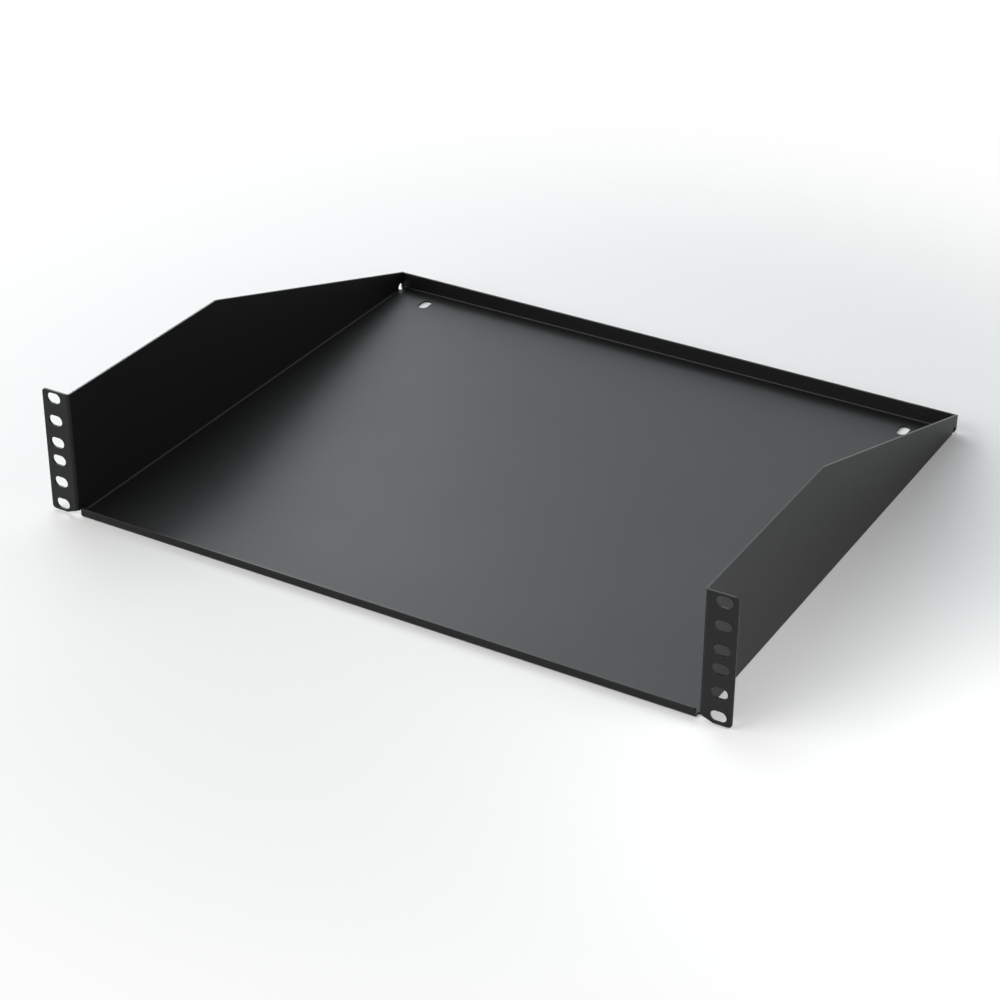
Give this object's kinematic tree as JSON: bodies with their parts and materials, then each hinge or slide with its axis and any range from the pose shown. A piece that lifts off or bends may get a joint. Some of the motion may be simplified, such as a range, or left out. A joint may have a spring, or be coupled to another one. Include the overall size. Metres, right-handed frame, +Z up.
{
  "type": "rack shelf",
  "caption": "Cantilever rack shelf folded from sheet steel: plain tray, side walls that fall to a low rear lip, slotted rack ears at the front and a low lip turned up between them.",
  "frame": {"origin": "centre of the rack mounting plane: midway between the two ears, on their back faces, at half their height", "axes": "+X to the right seen from the front, +Y from the front to the rear of the rack, +Z up; the ears lie across Y"},
  "size_m": [0.4826, 0.3937, 0.0876],
  "materials": {
    "powder_coat": "satin black powder coat on sheet steel"
  },
  "bodies": {
    "root": {"shelf": "powder_coat"}
  },
  "joints": []
}
